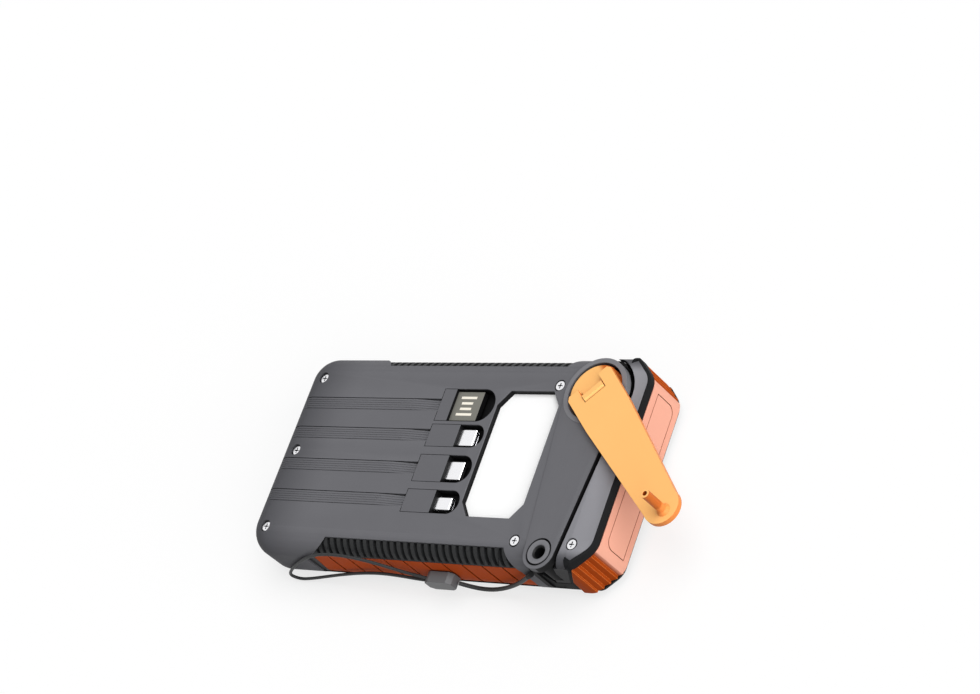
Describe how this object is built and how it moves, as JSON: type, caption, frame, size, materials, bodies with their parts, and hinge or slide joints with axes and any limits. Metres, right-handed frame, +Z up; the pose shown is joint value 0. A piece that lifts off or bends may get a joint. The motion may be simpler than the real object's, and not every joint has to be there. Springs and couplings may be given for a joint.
{
  "type": "hand crank phone charger",
  "caption": "Rugged power bank with a folding hand crank and generator, captive flat charging leads, lamp panel, solar cells and wrist cord.",
  "frame": {"origin": "centre of the flat underside, below the middle of the case", "axes": "+X towards the crank end, along the case; +Y towards the crank pivot's side; +Z up out of the rear cover that carries the crank"},
  "size_m": [0.1984, 0.0885, 0.0415],
  "materials": {
    "cover_grey": "fine-grained moulded plastic",
    "ring_grey": "fine-grained moulded plastic",
    "end_grey": "fine-grained moulded plastic",
    "shell_black": "satin black plastic",
    "gasket_black": "black rubber",
    "cap_orange": "satin orange plastic",
    "strip_orange": "satin orange plastic",
    "crank_orange": "semi-gloss light orange plastic",
    "lamp_white": "frosted white diffuser",
    "plug_grey": "moulded plug grip",
    "plug_metal": "bright nickel plate",
    "tongue_grey": "grey connector tongue",
    "contact_gold": "gold flash",
    "lead_rubber": "ribbed soft rubber",
    "screw_steel": "bright zinc plate",
    "gear_nylon": "natural nylon",
    "rotor_steel": "turned steel and magnet",
    "plate_aluminium": "stamped plate",
    "board_green": "solder mask",
    "led_yellow": "phosphor",
    "cell_foil": "laminate pouch",
    "solar_blue": "cells under clear laminate",
    "lens_clear": "clear lens",
    "cord_fabric": "braided polyester",
    "bead_rubber": "moulded rubber"
  },
  "bodies": {
    "case": {"rear_cover": "cover_grey", "pivot_ring": "ring_grey", "boss_socket": "ring_grey", "end_block": "end_grey", "front_shell": "shell_black", "grip_ribs_far": "shell_black", "grip_ribs_near": "shell_black", "end_gasket": "gasket_black", "port_cover": "cap_orange", "side_strip_far": "strip_orange", "side_strip_near": "strip_orange", "light_diffuser": "lamp_white", "usb_a_port_far": "plug_metal", "usb_a_port_near": "plug_metal", "usb_c_port": "plug_metal", "shaft_bush": "contact_gold", "cable_root_usb_a": "lead_rubber", "cable_root_micro": "lead_rubber", "cable_root_slim": "lead_rubber", "cable_root_usb_c": "lead_rubber", "cover_screws": "screw_steel", "end_screws": "screw_steel", "idler_axle": "screw_steel", "generator_case": "screw_steel", "gearbox_plate": "plate_aluminium", "main_board": "board_green", "led_board": "board_green", "led_emitters": "led_yellow", "battery_cell_far": "cell_foil", "battery_cell_near": "cell_foil", "solar_panel": "solar_blue", "indicator_lens": "lens_clear", "lanyard_tail": "cord_fabric", "lanyard_loop": "cord_fabric", "lanyard_bead": "bead_rubber", "lanyard_ferrule": "bead_rubber"},
    "crank": {"crank_hub": "crank_orange", "crank_gear": "gear_nylon", "hinge_pin": "screw_steel"},
    "arm": {"crank_arm": "crank_orange"},
    "idler": {"idler_gear": "gear_nylon"},
    "rotor": {"generator_rotor": "rotor_steel"},
    "flap": {"port_flap": "cap_orange"},
    "button": {"power_button": "plug_grey"},
    "lead_usb_a": {"plug_head_usb_a": "plug_grey", "plug_tip_usb_a": "tongue_grey", "flat_cable_usb_a": "lead_rubber", "plug_contacts": "contact_gold"},
    "lead_micro": {"plug_head_micro": "plug_grey", "plug_tip_micro": "plug_metal", "flat_cable_micro": "lead_rubber"},
    "lead_slim": {"plug_head_slim": "plug_grey", "plug_tip_slim": "plug_metal", "flat_cable_slim": "lead_rubber"},
    "lead_usb_c": {"plug_head_usb_c": "plug_grey", "plug_tip_usb_c": "plug_metal", "flat_cable_usb_c": "lead_rubber"}
  },
  "joints": [
    {"name": "crank_spin", "type": "hinge", "parent": "case", "child": "crank", "pos_m": [0.062, 0.0259, 0.0208], "axis": [0, 0, 1], "continuous": true},
    {"name": "crank_fold", "type": "hinge", "parent": "crank", "child": "arm", "pos_m": [0.06345, 0.02452, 0.02845], "axis": [-0.6899, -0.7239, 0], "range_deg": [0, 180]},
    {"name": "idler_spin", "type": "hinge", "parent": "case", "child": "idler", "pos_m": [0.05475, 0.01334, 0.0135], "axis": [0, 0, 1], "continuous": true},
    {"name": "rotor_spin", "type": "hinge", "parent": "case", "child": "rotor", "pos_m": [0.04244, 0.01117, 0.0125], "axis": [0, 0, 1], "continuous": true},
    {"name": "flap_hinge", "type": "hinge", "parent": "case", "child": "flap", "pos_m": [0.0825, 0, 0.0068], "axis": [0, 1, 0], "range_deg": [0, 90]},
    {"name": "button_press", "type": "slide", "parent": "case", "child": "button", "axis": [0, -1, 0], "range_m": [0, 0.0008], "stiffness_N_per_m": 500},
    {"name": "lift_usb_a", "type": "hinge", "parent": "case", "child": "lead_usb_a", "pos_m": [-0.066, 0.0195, 0.0266], "axis": [0, -1, 0], "range_deg": [0, 75]},
    {"name": "lift_micro", "type": "hinge", "parent": "case", "child": "lead_micro", "pos_m": [-0.066, 0.0068, 0.0266], "axis": [0, -1, 0], "range_deg": [0, 75]},
    {"name": "lift_slim", "type": "hinge", "parent": "case", "child": "lead_slim", "pos_m": [-0.066, -0.0068, 0.0266], "axis": [0, -1, 0], "range_deg": [0, 75]},
    {"name": "lift_usb_c", "type": "hinge", "parent": "case", "child": "lead_usb_c", "pos_m": [-0.066, -0.0201, 0.0266], "axis": [0, -1, 0], "range_deg": [0, 75]}
  ],
  "couplings": [
    {"joint": "idler_spin", "follows": "crank_spin", "ratio": -3.8333},
    {"joint": "rotor_spin", "follows": "crank_spin", "ratio": 15.333}
  ]
}
